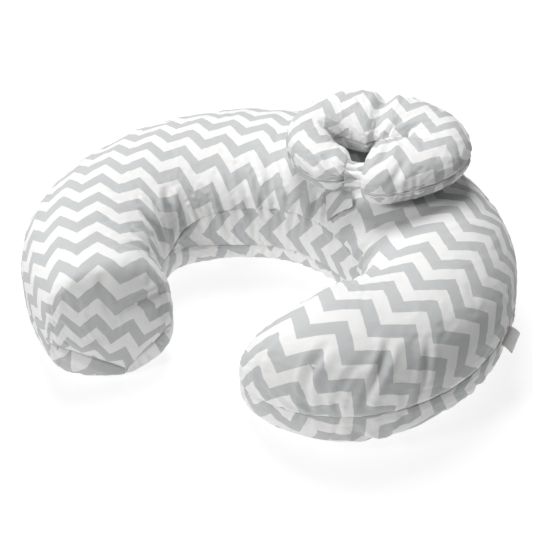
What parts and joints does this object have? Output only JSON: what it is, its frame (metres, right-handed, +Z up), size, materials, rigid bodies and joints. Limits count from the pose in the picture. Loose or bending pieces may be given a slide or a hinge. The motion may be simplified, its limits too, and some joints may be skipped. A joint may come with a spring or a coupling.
{
  "type": "nursing pillow",
  "caption": "C-shaped nursing pillow in a zipped chevron cotton cover, with a loose ring-shaped head pillow and a hook-and-loop tie flap.",
  "frame": {"origin": "middle of the assembly's footprint, on the surface it lies on", "axes": "+Z up, +Y towards the closed round back, the open side towards -Y, +X towards the arm with the side label"},
  "size_m": [0.6096, 0.496, 0.2152],
  "materials": {
    "chevron_cotton": "printed plain-weave cotton",
    "case_cotton": "plain unprinted cotton",
    "fibre": "loose polyester fibre",
    "zip_tape": "woven tape",
    "zip_coil": "nylon coil",
    "zip_metal": "plated die casting",
    "label_satin": "satin ribbon",
    "elastic": "braided elastic",
    "hook_and_loop": "hook-and-loop tape"
  },
  "bodies": {
    "main_pillow": {"main_cover_top": "chevron_cotton", "main_cover_bottom": "chevron_cotton", "main_cover_gusset": "chevron_cotton", "main_case_top": "case_cotton", "main_case_bottom": "case_cotton", "main_fill": "fibre", "zip_tape_upper": "zip_tape", "zip_tape_lower": "zip_tape", "zip_coil_upper": "zip_coil", "zip_coil_lower": "zip_coil", "zip_stop_left": "zip_metal", "zip_stop_right": "zip_metal", "side_label": "label_satin", "loop_patch": "hook_and_loop"},
    "zip_slider": {"zip_slider": "zip_metal"},
    "zip_pull": {"zip_pull": "zip_metal"},
    "head_pillow": {"head_cover_top": "chevron_cotton", "head_cover_bottom": "chevron_cotton", "head_fill": "fibre", "head_bridge_casing": "chevron_cotton", "head_bridge_elastic": "elastic", "tie_tab_root": "chevron_cotton"},
    "tie_flap": {"tie_flap": "chevron_cotton", "hook_patch": "hook_and_loop"}
  },
  "joints": [
    {"name": "zip_slider_run", "type": "hinge", "parent": "main_pillow", "child": "zip_slider", "pos_m": [-0.00553, -0.08744, 0.06624], "axis": [0, 0, 1], "range_deg": [0, 43.8]},
    {"name": "zip_pull_turn", "type": "hinge", "parent": "zip_slider", "child": "zip_pull", "pos_m": [0.12075, 0.22616, 0.06624], "axis": [0, 0, -1], "range_deg": [0, 175]},
    {"name": "head_pillow_lift", "type": "slide", "parent": "main_pillow", "child": "head_pillow", "axis": [0, 0, 1], "range_m": [0, 0.2]},
    {"name": "tie_flap_peel", "type": "hinge", "parent": "head_pillow", "child": "tie_flap", "pos_m": [0.04284, 0.06079, 0.14621], "axis": [-0.8233, -0.4632, -0.3281], "range_deg": [0, 40]}
  ]
}
